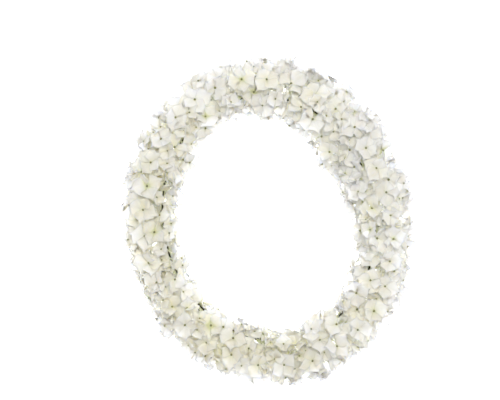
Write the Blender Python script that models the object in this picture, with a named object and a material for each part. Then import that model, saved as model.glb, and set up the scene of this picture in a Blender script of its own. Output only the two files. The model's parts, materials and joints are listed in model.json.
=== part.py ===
# Hydrangea wreath: an oval ring of dark wire dressed all round with sprays of white hydrangea florets.
# It lies flat and is seen from above. X is to the right, Y is away from the viewer, Z is up, and the
# origin is the middle of the footprint on the surface. Sizes are in metres.
import bisect
import math
import random

import bmesh
import bpy
from mathutils import Matrix, Vector
from mathutils.bvhtree import BVHTree

SEED = 15

# Ring wire: an oval loop, with its long axis a little left of vertical
RING_HALF_WIDTH = 0.1063
RING_HALF_LENGTH = 0.1236
RING_TURN = math.radians(13.5)
RING_HEIGHT = 0.0235
RING_POINTS = 48
RING_STEPS = 720
WIRE_RADIUS = 0.0012

# Sprays: outer sprays have their stem above the ring wire, inner sprays below it, half a spray on
SPRAYS = 13
STEM_RADIUS = 0.0011
STEM_TIP_SHARE = 0.72
STEM_SHARE = 0.9
STEM_POINTS = 5
STEM_GAP = 0.0004
STEM_ANGLE = {"outer": math.radians(68), "inner": math.radians(248)}
STEM_SHIFT = {"outer": 0.0, "inner": 0.5}

# Binding wire: one long spiral round the ring wire and the stems, its points half round each stem
BINDING_RADIUS = 0.00045
BINDING_TURNS = 20
BINDING_POINTS = 4

# Flower mass: how far it reaches past the ring wire, as a mean with swings round the wreath, each swing
# being its size, its order and the direction in degrees where it is greatest
INNER_REACH = 0.0180
INNER_SWINGS = ((0.0085, 1, 52), (0.0025, 2, 25), (0.0025, 3, 38))
OUTER_REACH = 0.0388
OUTER_SWINGS = ((0.0025, 1, -100), (0.0015, 2, 95))
MASS_TOP = 0.049
FLORET_INSET = 0.0055
FRINGE = 0.0025

# Floret: four broad sepals on a thin pedicel
SEPALS = 4
RIM_POINTS = SEPALS * 3
FLORET_RADIUS = 0.0152
SIZE_SPREAD = 0.12
SEPAL_THICK = 0.00068
SEPAL_SIZE = (0.94, 1.06)
SEPAL_LEAN = 0.09
SEPAL_HALF_ANGLE = math.radians(19)
SHOULDER_REACH = (0.93, 1.0)
SEPAL_RISE = (0.05, 0.30)
SEPAL_WAVE = (0.02, 0.10)
NOTCH_REACH = (0.53, 0.61)
NOTCH_RISE = 0.03
PEDICEL_RADIUS = 0.00072
PEDICEL_LEAN = (0.003, 0.013)
PEDICEL_LEAST_FACING = 0.45
ROOT_MARGIN = 0.003

# Rows of florets round the flower mass: angle in degrees up from straight outward, count round the
# wreath, and the kind of spray that carries them
ROWS = (
    (72, 33, "outer"),
    (36, 36, "outer"),
    (108, 31, "outer"),
    (2, 35, "outer"),
    (146, 30, "outer"),
    (186, 24, "inner"),
    (335, 22, "inner"),
    (235, 10, "inner"),
)
ROW_STAGGER = 0.6

# Placing: each floret takes the first clear place near its own, in passes that look further with a
# smaller floret, given as the search's spread and the floret's size
PASSES = ((1.0, 1.0), (1.8, 0.9), (2.4, 0.82), (3.2, 0.75))
TRIES = 300
FIRST_SPREAD = 0.25
TRIES_TO_FULL_SPREAD = 160
SHIFT_ALONG = 0.009
SHIFT_AROUND = 0.33
SHIFT_INSET = (-0.004, 0.013)
TILT = 0.26
RAISE = 0.55
CLEARANCE = 0.00032
FLOOR_CLEARANCE = 0.0012
NEAR = 0.055

# Three florets are pressed flat, face down, under the ring. The wreath rests on them.
REST_DIRECTIONS = (90, 210, 330)
REST_SIZE = 0.95
REST_SHIFT = 0.005


# Ring

def oval(turn):
    """Point of the ring wire's middle line, at this share of a full turn."""
    a = 2 * math.pi * turn
    x = RING_HALF_WIDTH * math.cos(a)
    y = RING_HALF_LENGTH * math.sin(a)
    return Vector((
        x * math.cos(RING_TURN) - y * math.sin(RING_TURN),
        x * math.sin(RING_TURN) + y * math.cos(RING_TURN),
        RING_HEIGHT,
    ))


def measure_ring():
    """Length along the oval at even steps of turn."""
    lengths = [0.0]
    last = oval(0)
    for i in range(1, RING_STEPS + 1):
        here = oval(i / RING_STEPS)
        lengths.append(lengths[-1] + (here - last).length)
        last = here
    return lengths


LENGTHS = measure_ring()
RING_LENGTH = LENGTHS[-1]
PITCH = RING_LENGTH / SPRAYS


def station(s):
    """Middle of the wire and the outward direction, at a length along the ring."""
    s = s % RING_LENGTH
    step = bisect.bisect_right(LENGTHS, s, hi=RING_STEPS) - 1
    share = (s - LENGTHS[step]) / (LENGTHS[step + 1] - LENGTHS[step])
    turn = (step + share) / RING_STEPS
    along = oval(turn + 1 / RING_STEPS) - oval(turn - 1 / RING_STEPS)
    return oval(turn), Vector((along.y, -along.x, 0)).normalized()


def at(s, out, up):
    """World point at a length along the ring, so far outward of the wire and so far above it."""
    point, outward = station(s)
    return point + outward * out + Vector((0, 0, up))


def direction_at(s):
    """Direction of this place from the middle of the ring, in radians."""
    point = station(s)[0]
    return math.atan2(point.y, point.x)


# Flower mass

def swung(mean, swings, direction):
    return mean + sum(
        size * math.cos(order * (direction - math.radians(greatest))) for size, order, greatest in swings)


def reaches(s):
    """How far the flowers reach inward and outward of the wire here."""
    direction = direction_at(s)
    return swung(INNER_REACH, INNER_SWINGS, direction), swung(OUTER_REACH, OUTER_SWINGS, direction)


def section_point(s, angle, inset):
    """Offsets outward of and above the wire, and the normal, of a point of the mass's oval section."""
    inner, outer = reaches(s)
    half_wide = (inner + outer) / 2 - inset
    half_high = MASS_TOP / 2 - inset
    out = (outer - inner) / 2 + half_wide * math.cos(angle)
    up = MASS_TOP / 2 - RING_HEIGHT + half_high * math.sin(angle)
    outward = station(s)[1]
    normal = outward * (math.cos(angle) * half_high) + Vector((0, 0, math.sin(angle) * half_wide))
    return out, up, normal.normalized()


# Wires and stems

def stem_place(side):
    """Place of a stem across the bundle: outward of the ring wire, and above it."""
    away = WIRE_RADIUS + STEM_GAP + STEM_RADIUS
    return away * math.cos(STEM_ANGLE[side]), away * math.sin(STEM_ANGLE[side])


def swept(name, points, radius, resolution, closed, tip_share=1.0):
    """A wire or stem along these points, as a mesh object."""
    curve = bpy.data.curves.new(name, "CURVE")
    curve.dimensions = "3D"
    curve.bevel_depth = radius
    curve.bevel_resolution = resolution
    curve.use_fill_caps = not closed
    spline = curve.splines.new("POLY")
    spline.points.add(len(points) - 1)
    for i, point in enumerate(points):
        spline.points[i].co = (*point, 1)
        spline.points[i].radius = 1 + (tip_share - 1) * i / (len(points) - 1)
    spline.use_cyclic_u = closed
    holder = bpy.data.objects.new(name + "_curve", curve)
    bpy.context.scene.collection.objects.link(holder)
    graph = bpy.context.evaluated_depsgraph_get()
    mesh = bpy.data.meshes.new_from_object(holder.evaluated_get(graph))
    made = bpy.data.objects.new(name, mesh)
    made.matrix_world = holder.matrix_world
    bpy.data.objects.remove(holder)
    work = bmesh.new()
    work.from_mesh(mesh)
    bmesh.ops.remove_doubles(work, verts=work.verts, dist=1e-6)
    bmesh.ops.triangulate(work, faces=work.faces)
    bmesh.ops.recalc_face_normals(work, faces=work.faces)
    work.to_mesh(mesh)
    work.free()
    return made


def build_ring():
    points = [oval(i / RING_POINTS) for i in range(RING_POINTS)]
    return swept("wire_ring", points, WIRE_RADIUS, 1, True)


def build_binding():
    """A spiral whose points stand outside the far half of each stem in turn."""
    step = math.pi / BINDING_POINTS
    away = (STEM_RADIUS + STEM_GAP + BINDING_RADIUS) / math.cos(step / 2)
    count = BINDING_TURNS * 2 * BINDING_POINTS
    points = []
    for i in range(count):
        side = "outer" if i // BINDING_POINTS % 2 == 0 else "inner"
        angle = STEM_ANGLE[side] - math.pi / 2 + step * (i % BINDING_POINTS + 0.5)
        out, up = stem_place(side)
        points.append(at(RING_LENGTH * i / count, out + away * math.cos(angle), up + away * math.sin(angle)))
    return swept("binding_wire", points, BINDING_RADIUS, 0, True)


def build_stem(side, number):
    start = PITCH * (number + STEM_SHIFT[side])
    length = PITCH * STEM_SHARE
    points = [at(start + length * i / (STEM_POINTS - 1), *stem_place(side)) for i in range(STEM_POINTS)]
    name = f"{side}_spray_{number + 1:02d}"
    made = swept(name, points, STEM_RADIUS, 0, False, STEM_TIP_SHARE)
    return {"name": name, "side": side, "start": start, "length": length, "object": made}


# Florets

def floret_template():
    """A floret's points, each as its kind and its angle, with the faces of its head and its pedicel."""
    work = bmesh.new()
    loops = []
    for segments, radius, depth, cap in (
        (RIM_POINTS, 1.0, 0.0, True),
        (RIM_POINTS, 1.0, -0.1, False),
        (3, 0.1, -0.2, False),
        (3, 0.1, -1.0, True),
    ):
        made = bmesh.ops.create_circle(
            work, cap_ends=cap, cap_tris=segments == RIM_POINTS, segments=segments, radius=radius,
            matrix=Matrix.Translation((0, 0, depth)))
        corners = [v for v in made["verts"] if v.co.xy.length > radius / 2]
        loops.append([e for e in work.edges if e.verts[0] in corners and e.verts[1] in corners])
    for upper, lower in zip(loops, loops[1:]):
        bmesh.ops.bridge_loops(work, edges=upper + lower)
    bmesh.ops.triangulate(work, faces=work.faces)
    bmesh.ops.recalc_face_normals(work, faces=work.faces)
    work.verts.index_update()
    points = []
    for vert in work.verts:
        reach = vert.co.xy.length
        kind = {0.0: "face", -0.1: "back", -0.2: "neck", -1.0: "root"}[round(vert.co.z, 1)]
        if reach < 0.05:
            kind = "middle"
        points.append((kind, math.atan2(vert.co.y, vert.co.x) % (2 * math.pi)))
    head = []
    pedicel = []
    for face in work.faces:
        corners = tuple(v.index for v in face.verts)
        ends = pedicel if any(points[i][0] == "root" for i in corners) else head
        ends.append(corners)
    work.free()
    return points, head, pedicel


FLORET_POINTS, HEAD_FACES, PEDICEL_FACES = floret_template()


def sepal_rim(rng):
    """Reach, angle and rise of each rim point of a floret of radius 1: shoulder, shoulder and notch."""
    rim = []
    for k in range(SEPALS):
        middle = 2 * math.pi * k / SEPALS + rng.uniform(-SEPAL_LEAN, SEPAL_LEAN)
        size = rng.uniform(*SEPAL_SIZE)
        half = SEPAL_HALF_ANGLE * rng.uniform(0.8, 1.2)
        rise = rng.uniform(*SEPAL_RISE)
        wave = rng.uniform(*SEPAL_WAVE)
        rim.append((size * rng.uniform(*SHOULDER_REACH), middle - half, rise - wave))
        rim.append((size * rng.uniform(*SHOULDER_REACH), middle + half, rise + wave))
        rim.append((rng.uniform(*NOTCH_REACH), 2 * math.pi * (k + 0.5) / SEPALS, NOTCH_RISE))
    return rim


def floret_shape(rim, radius, place, root, grow=0.0):
    """World points of a floret with its pedicel sunk at root, every wall moved outward by grow."""
    root_below = place.inverted() @ root
    points = []
    for kind, angle in FLORET_POINTS:
        if kind in ("face", "back"):
            far, turn, rise = rim[round(angle * RIM_POINTS / (2 * math.pi)) % RIM_POINTS]
            far = far * radius + grow
            height = rise * radius + grow if kind == "face" else rise * radius - SEPAL_THICK - grow
            local = Vector((far * math.cos(turn), far * math.sin(turn), height))
        elif kind == "middle":
            local = Vector((0, 0, grow))
        else:
            wide = PEDICEL_RADIUS + grow
            local = Vector((wide * math.cos(angle), wide * math.sin(angle), 0))
            local += root_below if kind == "root" else Vector((0, 0, -SEPAL_THICK - grow))
        points.append(place @ local)
    return points


def solid_tree(obj):
    points = [v.co.copy() for v in obj.data.vertices]
    return BVHTree.FromPolygons(points, [tuple(p.vertices) for p in obj.data.polygons])


class Bed:
    """Everything placed so far, to test that a new floret is clear of it."""

    def __init__(self, ring, binding, stems):
        self.wires = [solid_tree(ring), solid_tree(binding)]
        self.stems = [(stem["name"], solid_tree(stem["object"])) for stem in stems]
        self.florets = []

    def has_room(self, spray, middle, head, pedicel):
        for wire in self.wires:
            if head.overlap(wire) or pedicel.overlap(wire):
                return False
        for name, stem in self.stems:
            if head.overlap(stem) or (name != spray and pedicel.overlap(stem)):
                return False
        for other in self.florets:
            if (other["middle"] - middle).length > NEAR:
                continue
            if head.overlap(other["head"]) or head.overlap(other["pedicel"]):
                return False
            if pedicel.overlap(other["head"]):
                return False
            if other["spray"] != spray and pedicel.overlap(other["pedicel"]):
                return False
        return True

    def add(self, spray, middle, points):
        self.florets.append({
            "spray": spray,
            "middle": middle,
            "points": points,
            "head": BVHTree.FromPolygons(points, HEAD_FACES),
            "pedicel": BVHTree.FromPolygons(points, PEDICEL_FACES),
        })


def spray_at(stems, side, s):
    """The spray of this side whose stretch of the ring holds s."""
    number = int((s / PITCH - STEM_SHIFT[side]) % SPRAYS)
    return stems[number if side == "outer" else SPRAYS + number]


def root_on(stem, s, lean):
    """Where a pedicel starts on the middle line of its stem, a little behind its floret."""
    along = (s - lean - stem["start"] + RING_LENGTH / 2) % RING_LENGTH - RING_LENGTH / 2
    along = min(max(along, ROOT_MARGIN), stem["length"] - ROOT_MARGIN)
    return at(stem["start"] + along, *stem_place(stem["side"]))


def inside_mass(s, points, resting):
    """Whether these points stay in the flower mass's outline and clear of the surface."""
    point, outward = station(s)
    inner, outer = reaches(s)
    outs = [(p - point).dot(outward) for p in points]
    ups = [p.z for p in points]
    if min(outs) < -inner - FRINGE or max(outs) > outer + FRINGE or max(ups) > MASS_TOP + FRINGE:
        return False
    return resting or min(ups) > FLOOR_CLEARANCE


def try_floret(bed, stem, s, out, up, normal, radius, rim, rng, resting=False):
    """Adds this floret and gives True, if it is clear of all the rest."""
    middle = at(s, out, up)
    root = root_on(stem, s, rng.uniform(*PEDICEL_LEAN))
    if (middle - root).normalized().dot(normal) < PEDICEL_LEAST_FACING:
        return False
    twist = Matrix.Rotation(rng.uniform(0, math.pi), 4, "Z")
    place = Matrix.Translation(middle) @ normal.to_track_quat("Z", "Y").to_matrix().to_4x4() @ twist
    grown = floret_shape(rim, radius, place, root, CLEARANCE)
    if not inside_mass(s, grown, resting):
        return False
    head = BVHTree.FromPolygons(grown, HEAD_FACES)
    pedicel = BVHTree.FromPolygons(grown, PEDICEL_FACES)
    if not bed.has_room(stem["name"], middle, head, pedicel):
        return False
    bed.add(stem["name"], middle, floret_shape(rim, radius, place, root))
    return True


def place_resting(bed, stems, rng, degrees):
    """A floret pressed flat against the surface, in this direction from the middle."""
    goal = math.radians(degrees)
    steps = [RING_LENGTH * i / RING_STEPS for i in range(RING_STEPS)]
    s = min(steps, key=lambda t: abs(math.remainder(direction_at(t) - goal, 2 * math.pi)))
    inner, outer = reaches(s)
    flat_rim = [(far, turn, 0.0) for far, turn, rise in sepal_rim(rng)]
    radius = FLORET_RADIUS * REST_SIZE
    down = Vector((0, 0, -1))
    for _ in range(TRIES):
        where = s + rng.uniform(-REST_SHIFT, REST_SHIFT)
        out = (outer - inner) / 2 + rng.uniform(-REST_SHIFT, REST_SHIFT)
        stem = spray_at(stems, "inner", where)
        if try_floret(bed, stem, where, out, -RING_HEIGHT, down, radius, flat_rim, rng, True):
            return


def place_floret(bed, stems, rng, plan, spread, size):
    """Tries places nearer and then further from the planned one. Gives False if none is clear."""
    planned_s, planned_angle, side, rim = plan
    for attempt in range(TRIES):
        loose = spread * min(1.0, FIRST_SPREAD + attempt / TRIES_TO_FULL_SPREAD)
        s = planned_s + rng.uniform(-SHIFT_ALONG, SHIFT_ALONG) * loose
        angle = planned_angle + rng.uniform(-SHIFT_AROUND, SHIFT_AROUND) * loose
        out, up, normal = section_point(s, angle, FLORET_INSET + rng.uniform(*SHIFT_INSET) * min(1.0, loose))
        normal += Vector([rng.gauss(0, TILT) for _ in range(3)])
        normal.z += RAISE * max(0.0, 0.5 + normal.z)
        radius = FLORET_RADIUS * size * rng.uniform(1 - SIZE_SPREAD, 1 + SIZE_SPREAD)
        if try_floret(bed, spray_at(stems, side, s), s, out, up, normal.normalized(), radius, rim, rng):
            return True
    return False


def place_florets(bed, stems, rng):
    for degrees in REST_DIRECTIONS:
        place_resting(bed, stems, rng, degrees)
    waiting = []
    for row, (degrees, count, side) in enumerate(ROWS):
        for i in range(count):
            s = RING_LENGTH * (i + row * ROW_STAGGER) / count
            waiting.append((s, math.radians(degrees), side, sepal_rim(rng)))
    for spread, size in PASSES:
        waiting = [plan for plan in waiting if not place_floret(bed, stems, rng, plan, spread, size)]
    print("florets", len(bed.florets), "with no clear place", len(waiting))


# Solids

def material(name, colour, roughness, metallic=0.0):
    made = bpy.data.materials.new(name)
    made.use_nodes = True
    shader = made.node_tree.nodes["Principled BSDF"]
    shader.inputs["Base Color"].default_value = (*colour, 1)
    shader.inputs["Roughness"].default_value = roughness
    shader.inputs["Metallic"].default_value = metallic
    return made


def floret_object(name, points):
    mesh = bpy.data.meshes.new(name)
    mesh.from_pydata(points, [], HEAD_FACES + PEDICEL_FACES)
    return bpy.data.objects.new(name, mesh)


def fuse_spray(stem, florets):
    """Makes one body of the stem and the florets whose pedicels are sunk in it."""
    body = stem["object"]
    repeats = bpy.data.collections.new(stem["name"] + "_florets")
    bpy.context.scene.collection.children.link(repeats)
    for i, floret in enumerate(florets):
        repeats.objects.link(floret_object(f"{stem['name']}_floret_{i + 1}", floret["points"]))
    union = body.modifiers.new("florets", "BOOLEAN")
    union.operation = "UNION"
    union.solver = "EXACT"
    union.operand_type = "COLLECTION"
    union.collection = repeats
    graph = bpy.context.evaluated_depsgraph_get()
    fused = bpy.data.meshes.new_from_object(body.evaluated_get(graph))
    body.modifiers.clear()
    body.data = fused
    for piece in list(repeats.objects):
        bpy.data.objects.remove(piece)
    bpy.data.collections.remove(repeats)


def centre_footprint(bodies):
    corners = [v.co for body in bodies for v in body.data.vertices]
    across = (min(c.x for c in corners) + max(c.x for c in corners)) / 2
    along = (min(c.y for c in corners) + max(c.y for c in corners)) / 2
    for body in bodies:
        body.data.transform(Matrix.Translation((-across, -along, 0)))


def finish(body, collection, surface):
    collection.objects.link(body)
    body.data.materials.clear()
    body.data.materials.append(surface)


def main():
    for old in list(bpy.data.objects):
        bpy.data.objects.remove(old)
    wreath = bpy.data.collections.new("hydrangea_wreath")
    bpy.context.scene.collection.children.link(wreath)

    ring = build_ring()
    binding = build_binding()
    stems = [build_stem(side, number) for side in ("outer", "inner") for number in range(SPRAYS)]
    bed = Bed(ring, binding, stems)
    place_florets(bed, stems, random.Random(SEED))

    finish(ring, wreath, material("dark_painted_wire", (0.024, 0.021, 0.011), 0.5))
    finish(binding, wreath, material("green_binding_wire", (0.050, 0.052, 0.028), 0.5))
    sepals = material("white_sepals", (0.86, 0.86, 0.77), 0.6)
    for stem in stems:
        finish(stem["object"], wreath, sepals)
        fuse_spray(stem, [floret for floret in bed.florets if floret["spray"] == stem["name"]])
    centre_footprint(list(wreath.objects))


main()
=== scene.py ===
# The dressed hydrangea wreath: fine sepals, buds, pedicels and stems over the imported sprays, smooth wires
# in place of the faceted ones, a white floor, soft studio light and a camera looking straight down.
# Sizes are in metres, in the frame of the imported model: X right, Y up the picture, Z towards the camera.
import bisect
import json
import math
import random

import bmesh
import bpy
from mathutils import Matrix, Vector
from mathutils.bvhtree import BVHTree

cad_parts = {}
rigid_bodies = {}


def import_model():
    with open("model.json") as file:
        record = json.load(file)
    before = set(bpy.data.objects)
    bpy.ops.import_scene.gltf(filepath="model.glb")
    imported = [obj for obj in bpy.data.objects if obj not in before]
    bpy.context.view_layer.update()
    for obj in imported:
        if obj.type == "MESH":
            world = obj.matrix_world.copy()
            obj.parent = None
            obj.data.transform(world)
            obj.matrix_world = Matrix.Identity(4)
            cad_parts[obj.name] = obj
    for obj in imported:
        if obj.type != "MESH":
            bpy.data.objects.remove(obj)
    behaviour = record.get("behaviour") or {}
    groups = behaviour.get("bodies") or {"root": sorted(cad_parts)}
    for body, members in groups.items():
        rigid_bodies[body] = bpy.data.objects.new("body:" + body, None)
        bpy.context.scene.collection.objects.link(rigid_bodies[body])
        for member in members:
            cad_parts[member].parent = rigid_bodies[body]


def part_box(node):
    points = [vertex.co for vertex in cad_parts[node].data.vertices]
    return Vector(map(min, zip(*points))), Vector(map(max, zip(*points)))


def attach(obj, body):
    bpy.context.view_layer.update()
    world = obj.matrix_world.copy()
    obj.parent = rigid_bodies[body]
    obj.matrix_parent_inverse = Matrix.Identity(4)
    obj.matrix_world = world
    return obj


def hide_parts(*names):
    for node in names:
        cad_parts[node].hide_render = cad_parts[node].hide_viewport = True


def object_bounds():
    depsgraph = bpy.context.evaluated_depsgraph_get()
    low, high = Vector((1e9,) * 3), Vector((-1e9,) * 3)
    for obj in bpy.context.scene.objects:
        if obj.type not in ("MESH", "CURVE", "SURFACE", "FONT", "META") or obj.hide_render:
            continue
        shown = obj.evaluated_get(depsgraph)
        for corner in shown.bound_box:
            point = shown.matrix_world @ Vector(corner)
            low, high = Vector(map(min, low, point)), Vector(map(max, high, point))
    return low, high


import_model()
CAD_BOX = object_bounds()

SEED = 15
UP = Vector((0, 0, 1))
DOWN = Vector((0, 0, -1))

# Camera: straight above, at the photograph's scale, over the middle of its frame
PHOTO_WIDTH = 500
PHOTO_CENTRE = (250.0, 200.0)
WREATH_CENTRE = (268.0, 221.4)
PIXEL = 0.001
SENSOR = 0.036
CAMERA_HEIGHT = 1.6
CAMERA_PLACE = Vector((
    (PHOTO_CENTRE[0] - WREATH_CENTRE[0]) * PIXEL,
    (WREATH_CENTRE[1] - PHOTO_CENTRE[1]) * PIXEL,
    CAMERA_HEIGHT,
))

# Floor, room and lights, each light as its name, place, size and power
FLOOR_HALF_SIZE = 3.0
FLOOR_BELOW = 0.0002
FLOOR_GLOW = 1.5
ROOM_GLOW = 0.45
LIGHT_BOUNCES = 24
LIGHTS = (
    ("key_light", (0.11, 0.34, 1.50), 0.45, 12.9),
    ("fill_light", (0.9, -0.5, 1.0), 1.2, 1.0),
)

# Ring wire: an oval loop, with its long axis a little left of vertical
RING_HALF_WIDTH = 0.1063
RING_HALF_LENGTH = 0.1236
RING_TURN = math.radians(13.5)
RING_HEIGHT = 0.0235
RING_POINTS = 48
RING_STEPS = 720
WIRE_RADIUS = 0.0012

# Sprays: outer sprays have their stem above the ring wire, inner sprays below it, half a spray on
SPRAYS = 13
STEM_RADIUS = 0.0011
STEM_TIP_SHARE = 0.72
STEM_SHARE = 0.9
STEM_POINTS = 5
STEM_GAP = 0.0004
STEM_ANGLE = {"outer": math.radians(68), "inner": math.radians(248)}
STEM_SHIFT = {"outer": 0.0, "inner": 0.5}

# Binding wire: one long spiral round the ring wire and the stems, its points half round each stem
BINDING_RADIUS = 0.00045
BINDING_TURNS = 20
BINDING_POINTS = 4
BINDING_AWAY = STEM_RADIUS + STEM_GAP + BINDING_RADIUS

# Flower mass: how far it reaches past the ring wire, as a mean with swings round the wreath, each swing
# being its size, its order and the direction in degrees where it is greatest
INNER_REACH = 0.0180
INNER_SWINGS = ((0.0085, 1, 52), (0.0025, 2, 25), (0.0025, 3, 38))
OUTER_REACH = 0.0388
OUTER_SWINGS = ((0.0025, 1, -100), (0.0015, 2, 95))
MASS_TOP = 0.049
FLORET_INSET = 0.0055
FRINGE = 0.0025

# Floret: four broad sepals on a thin pedicel
SEPALS = 4
RIM_POINTS = SEPALS * 3
FLORET_RADIUS = 0.0152
SIZE_SPREAD = 0.12
SEPAL_THICK = 0.00068
SEPAL_SIZE = (0.94, 1.06)
SEPAL_LEAN = 0.09
SEPAL_HALF_ANGLE = math.radians(19)
HALF_ANGLE_SPREAD = (0.8, 1.2)
SHOULDER_REACH = (0.93, 1.0)
SEPAL_RISE = (0.05, 0.30)
SEPAL_WAVE = (0.02, 0.10)
NOTCH_REACH = (0.53, 0.61)
NOTCH_RISE = 0.03
PEDICEL_RADIUS = 0.00072
PEDICEL_LEAN = (0.003, 0.013)
PEDICEL_LEAST_FACING = 0.45
ROOT_MARGIN = 0.003

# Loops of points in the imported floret: kind, number of points, radius, height, and whether it is capped
FLORET_LOOPS = (
    ("face", RIM_POINTS, 1.0, 0.0, True),
    ("back", RIM_POINTS, 1.0, -0.1, False),
    ("neck", 3, 0.1, -0.2, False),
    ("root", 3, 0.1, -1.0, True),
)

# Rows of florets round the flower mass: angle in degrees up from straight outward, count round the
# wreath, and the kind of spray that carries them
ROWS = (
    (72, 33, "outer"),
    (36, 36, "outer"),
    (108, 31, "outer"),
    (2, 35, "outer"),
    (146, 30, "outer"),
    (186, 24, "inner"),
    (335, 22, "inner"),
    (235, 10, "inner"),
)
ROW_STAGGER = 0.6

# Placing: each floret takes the first clear place near its own, in passes that look further with a
# smaller floret, given as the search's spread and the floret's size
PASSES = ((1.0, 1.0), (1.8, 0.9), (2.4, 0.82), (3.2, 0.75))
TRIES = 300
FIRST_SPREAD = 0.25
TRIES_TO_FULL_SPREAD = 160
SHIFT_ALONG = 0.009
SHIFT_AROUND = 0.33
SHIFT_INSET = (-0.004, 0.013)
TILT = 0.26
RAISE = 0.55
RAISE_FROM = 0.5
CLEARANCE = 0.00032
FLOOR_CLEARANCE = 0.0012
NEAR = 0.055

# Three florets are pressed flat, face down, under the ring. The wreath rests on them.
REST_DIRECTIONS = (90, 210, 330)
REST_SIZE = 0.95
REST_SHIFT = 0.005

# Fine sepals: each is a thin shell of unit length, made in a few kinds and scaled to its floret
SEPAL_KINDS = 14
SEPAL_COLUMNS = 6
SEPAL_ROWS = 6
SEPAL_HALF_WIDTH = 0.46
CLAW_HALF_WIDTH = 0.05
BODY_LENGTH = 0.92
TIP_LENGTH = 0.20
TIP_POWER = 6
CURL_START = 0.55
FOLD_POWER = 1.15
RIM_WAVES = 8
RIM_WAVE_POWER = 1.6
RIM_WAVE_AT_CLAW = 0.4
RAGS = 11
SIDES_APART = 2.1
MIDRIB_DEPTH = 0.008
MIDRIB_WIDTH = 0.22
MIDRIB_SHIFT = 0.05
SEPAL_THIN = 0.00026
SHARP_ANGLE = math.radians(50)
PROXY_ACROSS = (-1.0, 0.0, 1.0)
PROXY_ALONG = (0.10, 0.30, 0.50, 0.70, 0.88, 1.0)

# How a floret lies: its head's tilt, and each sepal's lift, swing and roll, as spreads in radians
HEAD_TILT = 0.32
HEAD_LEAN = 0.58
LEAN_LEAST_FACING = -0.3
SEPAL_LIFT = 0.27
SEPAL_SWING = 0.13
SEPAL_ROLL = 0.34
RISE_KEPT = 0.7
ROLL_KEPT = 0.9
OPENINGS = (0.0, 0.05, 0.10, 0.20, 0.40, 0.65, -0.15)
SEPAL_BASE = 0.0106
SEPAL_SHARE = 0.30
REACH_SPREAD = (0.84, 1.12)
PAIR_STEP = 0.00035
LIES_TRIED = 12
LIES_AT_WINDOW = 60
WILD_AT_WINDOW = 1.6
NEIGHBOUR = 0.034

# Each sepal is then eased over or under its neighbours in a few rounds
EASE_ROUNDS = 3
EASE_TRIES = 8
EASE_WILD = 1.7

# What a clash, a hidden window and so on cost when ways to lie are compared
CLASH_COST = 0.55
WIRE_COST = 3.0
COVERED_COST = 60.0
BARE_COST = 5.0
HEIGHT_COST = 4000.0
OUTLINE_COST = 600.0
FIRST_LIE_COST = 4

# How far petals may pass the outline: a mean, and for each edge a size and two lengths of its lumps
OUTLINE_FRINGE = 0.0030
OUTER_LUMPS = (0.0018, 0.0263, 0.0417)
INNER_LUMPS = (0.0032, 0.0238, 0.0371)

# Places in degrees from the middle where the foliage parts and the ring wire shows
WINDOWS = (-101, -95, -127, -150, -159, -176, 174, 166, 139, 103, 67, 30, -6, -26, -55)
WINDOW_POINTS = (-0.0018, 0.0, 0.0018)
WINDOW_SIZE = 0.0030
WIRE_MARKS = 220
MARK_OUTS = (-0.0010, 0.0026)

# Small late florets that grow between the others, on an outer spray where they stand above or well
# outside the ring wire
FILLERS = 400
FILLER_TRIES = 12000
FILLER_SIZE = (0.60, 0.90)
FILLER_INSET = (-0.004, 0.014)
FILLER_GROWN = (0.70, 1.0)
FILLER_TILT = 0.42
FILLER_FACING = 0.4
FILLER_ANGLES = (-0.9, 4.0)
FILLER_LEAST_FACING = 0.25
FILLER_EASE = 8
OUTER_FROM = 0.012
LEAST_APART = 0.0072
FIRST_CLASH = 24.0
MOST_CLASH = 2.0
SEE_THROUGH_SLACK = 1.8
COVER_TRIES = 120
COVER_OUT = (-0.009, 0.009)
COVER_UP = (0.004, 0.022)
COVER_ALONG = 0.006
GAP_STEP = 0.003
GAP_DEPTH = 0.0105
GAP_DOWN = (0.003, GAP_DEPTH + 0.004)
GAP_TRIES = 90
GAP_BESIDE = 0.007
HOLE_STEP = 0.0025
HOLE_SHARE = 0.85
HOLE_DOWN = (0.002, 0.016)

# Buds, pedicels and stems
BUD_RADIUS = 0.00115
BUD_SEAM = 0.07
BUD_SQUASH = 0.92
BUD_LIFT = 0.5
PEDICEL_THIN = 0.00040
PEDICEL_THICK = 0.00060
PEDICEL_TAPER = 1.6
PEDICEL_BEND = 1.1
PEDICEL_STEPS = 6
STEM_STEPS = 12
STEM_TAPER = 0.35
RING_FINE_POINTS = 240
BINDING_FINER = 3

# Tubes by kind: sides, how much the thickness swings, and skin. Swings are about 3 mm long.
TUBES = {
    "stalks": (6, 0.25, "pedicel"),
    "stem": (8, 0.3, "stem"),
    "ring": (14, 0.06, "ring"),
    "binding": (8, 0.0, "binding"),
}
SWINGS_PER_METRE = 300.0

# The surface that the wreath lies on presses sepals flat within this height
PRESS_HEIGHT = 0.0020
PRESS_FLOOR = 0.0001

# Colour from floret to floret and from sepal to sepal: cream toward one direction, the lower left, which is
# partly the sepals' own cream and partly painted shade on the side away from the light, and along the
# middle of the flower band; grey past a share of the way to its outer and inner edges, which is painted
# shade
CREAM = 0.33
# The cream toward the lower left is partly the sepals' own colour and partly painted shade away from the
# light
CREAM_AND_SHADE_SWING = 0.40
CREAM_AND_SHADE_DIRECTION = math.radians(-140)
CREAM_SPREAD = 0.38
CREAM_IN_MIDDLE = 0.30
CREAM_FALL = 0.65
SEPAL_CREAM_SPREAD = 0.16
YOUNG = (0.05, 0.40)
SEPAL_MIDDLE = 0.6
FRINGE_FROM = 0.6
# Grey at the band's outer and inner edges is painted shade
FRINGE_SHADE = (1.9, 1.0)
GREY_SPREAD = 0.06
MOST_GREY = 0.6


# Objects and meshes

def placed_object(name, data):
    """A new object of this mesh, curve, light or camera, in the scene."""
    made = bpy.data.objects.new(name, data)
    bpy.context.scene.collection.objects.link(made)
    return made


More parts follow.
